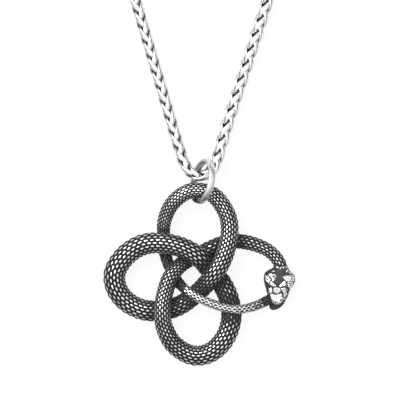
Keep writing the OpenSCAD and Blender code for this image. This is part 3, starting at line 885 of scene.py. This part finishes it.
def chain_links():
    """Twisted links in two hands by turns, along the chain's route."""
    u_fine, run = arc_table(CHAIN_ROUTE)
    places, sides, ups = route_frame(CHAIN_ROUTE, u_fine)
    link_half = (LINK_PITCH + 2 * WIRE_DEEP) / 2
    count = int((run[-1] - 2 * link_half + LINK_SPARE) // (LINK_PITCH / 2)) + 1
    centres = np.linspace(link_half + LINK_INSET_LEFT, run[-1] - link_half - LINK_INSET_RIGHT, count)
    centres = centres - LINK_SHIFT * np.sin(math.pi * centres / run[-1])
    # Each link is a flat loop of wire, which theta goes round, twisted along its length
    theta = 2 * math.pi * np.arange(LINK_SAMPLES) / LINK_SAMPLES
    hand = np.where(np.arange(count) % 2 == 0, 1.0, -1.0)[:, None]
    s = centres[:, None] - link_half * np.cos(theta)[None, :]
    reach = LINK_REACH * np.sign(np.sin(theta)) * np.abs(np.sin(theta))**LINK_FULLNESS
    at_ring = np.interp(RING_ROW, u_fine, run)
    rolled = smoothstep(s, at_ring - ROLL_SPAN, at_ring + ROLL_SPAN)
    roll = ROLL_LEFT + (ROLL_RIGHT - ROLL_LEFT) * rolled
    end = run[-1] - OPEN_END
    opened = smoothstep(s, at_ring + OPEN_FROM, at_ring + OPEN_TO)
    opened = OPEN_REACH * (opened * (1 - smoothstep(s, end, end + OPEN_END_SPAN)))
    twist = hand * math.radians(LINK_TWIST) * (1 - np.cos(theta))[None, :] + np.radians(roll)
    inside = np.clip(s, 0, run[-1])
    centre, side, up = [
        np.stack([np.interp(inside, run, table[:, k]) for k in range(3)], axis=-1)
        for table in (places[:, :3], sides, ups)
    ]
    way = np.cross(side, up)
    centre = centre + way * (s - inside)[..., None]
    out = side * np.cos(twist)[..., None] + up * np.sin(twist)[..., None]
    centre = centre + np.array([0, 0, 1]) * opened[..., None]
    line = centre + out * (reach[None, :] * (1 + opened / LINK_REACH))[..., None]
    # The wire's own directions: along it, over its wide side and over its thickness
    tangent = unit(np.roll(line, -1, axis=1) - np.roll(line, 1, axis=1))
    flat = up * np.cos(twist)[..., None] - side * np.sin(twist)[..., None]
    wide = unit(flat - tangent * (flat * tangent).sum(-1, keepdims=True))
    deep = np.cross(tangent, wide)
    angle = 2 * math.pi * np.arange(WIRE_SIDES) / WIRE_SIDES
    half_wide = WIRE_WIDE_END + (WIRE_WIDE - WIRE_WIDE_END) * np.abs(np.sin(theta))
    c, d = [fuller(v, WIRE_SQUARE) for v in (np.cos(angle), np.sin(angle))]
    section = (wide[:, :, None] * (half_wide[:, None] * c)[None, :, :, None]
               + deep[:, :, None] * (WIRE_DEEP * d)[:, None])
    points = line[:, :, None] + section
    # How far out from the chain's middle each point lies, which sets its painted shade: darker towards
    # the middle
    away = points - centre[:, :, None]
    away -= way[:, :, None] * (away * way[:, :, None]).sum(-1, keepdims=True)
    outer = np.linalg.norm(away, axis=-1) / (LINK_REACH + WIRE_DEEP)
    outer += OPEN_LIGHTER * opened[..., None]
    return points, outer, closed_loops(count, LINK_SAMPLES, WIRE_SIDES)


def chain():
    """The chain's links, with a round loop at each end."""
    points, outer, faces = chain_links()
    parts, part_faces, values = [points.reshape(-1, 3)], [faces], [outer.ravel()]
    out = EYE_RADIUS + EYE_SINK - EYE_WIRE / 2
    for x in (CHAIN_ROUTE[0, 0] + out, CHAIN_ROUTE[-1, 0] - out):
        ring = eye_points((x, CHAIN_ROUTE[0, 1], CHAIN_ROUTE[0, 2])).reshape(-1, 3)
        part_faces.append(closed_loops(1, EYE_SAMPLES, EYE_SIDES) + sum(len(part) for part in parts))
        parts.append(ring)
        values.append(np.ones(len(ring)))
    everything = np.concatenate(parts)
    everything[:, 2] = np.maximum(everything[:, 2], 0.0)
    add_piece("wheat_chain", everything, np.concatenate(part_faces), chain_material(), "chain",
              {"outer": np.concatenate(values)})


def hook_outline(theta):
    """How far the clasp's body reaches from the middle of its hook, in each direction."""
    c, s = np.cos(theta), np.sin(theta)
    reach = np.full(theta.shape, CLASP_HOOK_RADIUS)
    long = CLASP_HOOK_X - CLASP_TAIL_X - CLASP_TAIL_RADIUS
    slope = (CLASP_HOOK_RADIUS - CLASP_TAIL_RADIUS) / long
    back = c < 0
    side = CLASP_HOOK_RADIUS / (np.abs(s[back]) - slope * c[back])
    reach[back] = np.maximum(reach[back], np.minimum(side, -long / c[back]))
    thumb = CLASP_HOOK_RADIUS * (s - c)
    left = THUMB_RADIUS**2 + thumb**2 - 2 * CLASP_HOOK_RADIUS**2
    hit = (left > 0) & (thumb > 0)
    reach[hit] = np.maximum(reach[hit], thumb[hit] + np.sqrt(left[hit]))
    return reach


def tail_outline(theta):
    """How far the clasp's tail reaches from the middle of its hole, in each direction."""
    c, s = np.cos(theta), np.sin(theta)
    front = c > 0
    reach = np.full(theta.shape, CLASP_TAIL_RADIUS)
    beside = CLASP_TAIL_RADIUS / np.maximum(np.abs(s[front]), LEAST_SINE)
    reach[front] = np.minimum(2 * CLASP_TAIL_RADIUS / c[front], beside)
    return reach


def pierced_plate(x, hole, reach, half_thick):
    """Rings of points round a hole at x, out to the reach, with a pillowed section."""
    theta = 2 * math.pi * np.arange(CLASP_STEPS) / CLASP_STEPS
    angle = 2 * math.pi * np.arange(CLASP_SIDES) / CLASP_SIDES
    c, s = [fuller(v, CLASP_FULLNESS) for v in (np.cos(angle), np.sin(angle))]
    outer = reach(theta)[:, None]
    away = (outer + hole) / 2 + (outer - hole) / 2 * c
    high = half_thick(theta)[:, None] * s
    middle_y = CHAIN_ROUTE[0, 1]
    points = [x + away * np.cos(theta)[:, None], middle_y + away * np.sin(theta)[:, None],
              CLASP_HEIGHT + high]
    return np.stack(points, axis=-1).reshape(-1, 3)


def clasp():
    """The closed clasp: a hook with a line where its lever ends, a thumb knob and a pierced tail."""
    def hook_thick(theta):
        beside = (theta - GATE_ANGLE) * (CLASP_HOOK_RADIUS + CLASP_OPENING) / 2
        return CLASP_HALF_THICK - GATE_DEPTH * np.exp(-(beside / GATE_HALF_WIDE)**2)

    def tail_thick(theta):
        return np.full(theta.shape, CLASP_TAIL_HALF_THICK)

    body = pierced_plate(CLASP_HOOK_X, CLASP_OPENING, hook_outline, hook_thick)
    tail = pierced_plate(CLASP_TAIL_X, CLASP_TAIL_HOLE, tail_outline, tail_thick)
    faces = closed_loops(2, CLASP_STEPS, CLASP_SIDES)
    material = polished_material("clasp_steel", CLASP_STEEL, CLASP_ROUGHNESS)
    add_piece("clasp_body", np.concatenate([body, tail]), faces, material, "clasp")


def ring_material():
    """Polished steel with fine lines round the band, with painted shade on its inner face and where the
    band turns under the snake.
    """
    w = Wiring("bail_ring_steel")
    stretch = w.add("ShaderNodeMapping")
    stretch.inputs["Scale"].default_value = RING_LINES
    w.plug(stretch.inputs["Vector"], w.surface())
    lines = w.noise(1.0, where=stretch.outputs[0])
    lined = w.math("MULTIPLY", w.attribute("inner"), w.ramp(lines, *RING_LINES_SHADE))
    inner = w.math("MAXIMUM", lined, w.attribute("under"))
    steel = w.blend(w.ramp(lines, *RING_LINES_EDGE), RING_STEEL, STEEL)
    shaded_steel = w.blend(inner, steel, INNER_FACE_SHADE)
    w.plug(w.shader.inputs["Base Color"], w.blend(w.attribute("under"), shaded_steel, PAINTED_SHADE_BLACK))
    w.plug(w.shader.inputs["Metallic"], w.ramp(inner, *RING_METAL))
    w.shader.inputs["Specular IOR Level"].default_value = RING_GLOSS
    w.plug(w.shader.inputs["Roughness"], w.ramp(inner, 0.0, 1.0, *RING_ROUGHNESS))
    w.bump(lines, HAIRLINE_DEPTH, LINE_SHARE)
    return w.material


def bail_ring():
    """The band ring with its rounded section, leaning through the top lobe."""
    turn = 2 * math.pi * np.arange(RING_SAMPLES) / RING_SAMPLES
    angle = 2 * math.pi * np.arange(RING_SIDES) / RING_SIDES
    c, s = np.cos(angle), np.sin(angle)
    radius = RING_MIDDLE_RADIUS + RING_HALF_THICK * fuller(c, RING_FULLNESS)
    along = RING_HALF_WIDE * fuller(s, RING_FULLNESS)
    x = np.cos(turn)[:, None] * radius
    y = np.sin(turn)[:, None] * radius
    z = along + 0 * x
    leaned_x = x * math.cos(RING_TILT) - z * math.sin(RING_TILT)
    leaned_z = x * math.sin(RING_TILT) + z * math.cos(RING_TILT)
    turned_x = leaned_x * math.cos(RING_TURN) + y * math.sin(RING_TURN)
    turned_y = y * math.cos(RING_TURN) - leaned_x * math.sin(RING_TURN)
    points = np.stack([turned_x, turned_y, leaned_z], axis=-1) + RING_AT
    points[..., 2] = np.maximum(points[..., 2], 0.0)
    # Painted shade where the band turns under the snake, and on its inner face
    away = turn[:, None] - RING_DARK_AT - RING_DARK_SKEW * c
    under = np.minimum(RING_DARK_PEAK * np.exp(-(away / RING_DARK_SPAN)**2), 1)
    inner = smoothstep(-c, 0.0, RING_INNER_FULL) + 0 * x
    values = {"inner": inner.ravel(), "under": (under + 0 * x).ravel()}
    faces = closed_loops(1, RING_SAMPLES, RING_SIDES)
    piece = add_piece("bail_ring_band", points.reshape(-1, 3), faces, ring_material(), "bail_ring",
                      values)
    step, side = np.arange(RING_SAMPLES)[:, None], np.arange(RING_SIDES)[None, :]
    corners = [(step, side), (step, side + 1), (step + 1, side + 1), (step + 1, side)]
    uv = [np.stack(np.broadcast_arrays(a / RING_SAMPLES, b / RING_SIDES), axis=-1) for a, b in corners]
    add_face_map(piece, np.stack(uv, axis=2).reshape(-1, 2))


def dress_node(node, material):
    """Gives a material to a CAD piece that is shown as it is."""
    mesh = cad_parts[node].data
    mesh.materials.clear()
    mesh.materials.append(material)


def camera():
    data = bpy.data.cameras.new("camera")
    data.sensor_width = SENSOR
    data.lens = SENSOR * (CAMERA_HEIGHT - FRAME_PLANE) / FRAME_WIDE
    thing = bpy.data.objects.new("camera", data)
    bpy.context.scene.collection.objects.link(thing)
    thing.location = Vector((-MIDDLE[0], -MIDDLE[1], CAMERA_HEIGHT)) * MM
    thing.rotation_euler = (0.0, 0.0, 0.0)
    data.clip_end = CAMERA_SIGHT
    bpy.context.scene.camera = thing


def soft_light(name, place, size, power):
    """A round light that points at the pendant."""
    data = bpy.data.lights.new(name, "AREA")
    data.shape = "DISK"
    data.size = size
    data.energy = power
    thing = bpy.data.objects.new(name, data)
    bpy.context.scene.collection.objects.link(thing)
    thing.location = Vector(place)
    way = Vector((-MIDDLE[0] * MM, -MIDDLE[1] * MM, 0.0)) - thing.location
    thing.rotation_euler = way.to_track_quat("-Z", "Y").to_euler()


def sky():
    """Bright overhead and darker away from there, so that the metal's edges show."""
    world = bpy.data.worlds.new("studio")
    world.use_nodes = True
    bpy.context.scene.world = world
    nodes, links = world.node_tree.nodes, world.node_tree.links
    place = nodes.new("ShaderNodeTexCoord")
    towards = nodes.new("ShaderNodeVectorMath")
    towards.operation = "DOT_PRODUCT"
    towards.inputs[1].default_value = Vector(SKY_BRIGHTEST).normalized()
    ramp = nodes.new("ShaderNodeValToRGB")
    links.new(place.outputs["Generated"], towards.inputs[0])
    links.new(towards.outputs["Value"], ramp.inputs[0])
    links.new(ramp.outputs[0], nodes["Background"].inputs[0])
    elements = ramp.color_ramp.elements
    elements[0].position = SKY_STOPS[0][0]
    elements[1].position = SKY_STOPS[-1][0]
    for position, _ in SKY_STOPS[1:-1]:
        elements.new(position)
    for element, (_, grey) in zip(elements, SKY_STOPS):
        element.color = (grey, grey, grey * SKY_BLUE, 1.0)
    nodes["Background"].inputs[1].default_value = SKY_STRENGTH


def floor():
    mesh = bpy.data.meshes.new("floor")
    corners = [(x * FLOOR_HALF, y * FLOOR_HALF, 0) for x, y in ((-1, -1), (1, -1), (1, 1), (-1, 1))]
    mesh.from_pydata(corners, [], [(0, 1, 2, 3)])
    w = Wiring("floor_paint")
    w.plug(w.shader.inputs["Base Color"], w.blend(w.noise(FLOOR_CLOUDS), FLOOR_PAINT, FLOOR_PAINT_CLOUD))
    w.shader.inputs["Roughness"].default_value = FLOOR_ROUGHNESS
    w.shader.inputs["Specular IOR Level"].default_value = 0.0
    w.shader.inputs["Emission Color"].default_value = (1.0, 1.0, 1.0, 1.0)
    w.shader.inputs["Emission Strength"].default_value = FLOOR_GLOW
    mesh.materials.append(w.material)
    thing = bpy.data.objects.new("floor", mesh)
    bpy.context.scene.collection.objects.link(thing)


def studio():
    camera()
    sky()
    floor()
    soft_light("key", KEY_AT, KEY_SIZE, KEY_POWER)
    bpy.context.scene.view_settings.view_transform = "Standard"


studio()
for skin in SKINS:
    scaled_skin(*skin)
head_steel = head_material()
head(head_steel)
lower_jaw(head_steel)
jaw_floor(head_steel)
chain()
clasp()
bail_ring()
steel = polished_material("polished_steel", STEEL, FITTING_ROUGHNESS)
for node in ("clasp_ring", "end_ring"):
    dress_node(node, steel)

bpy.context.view_layer.update()
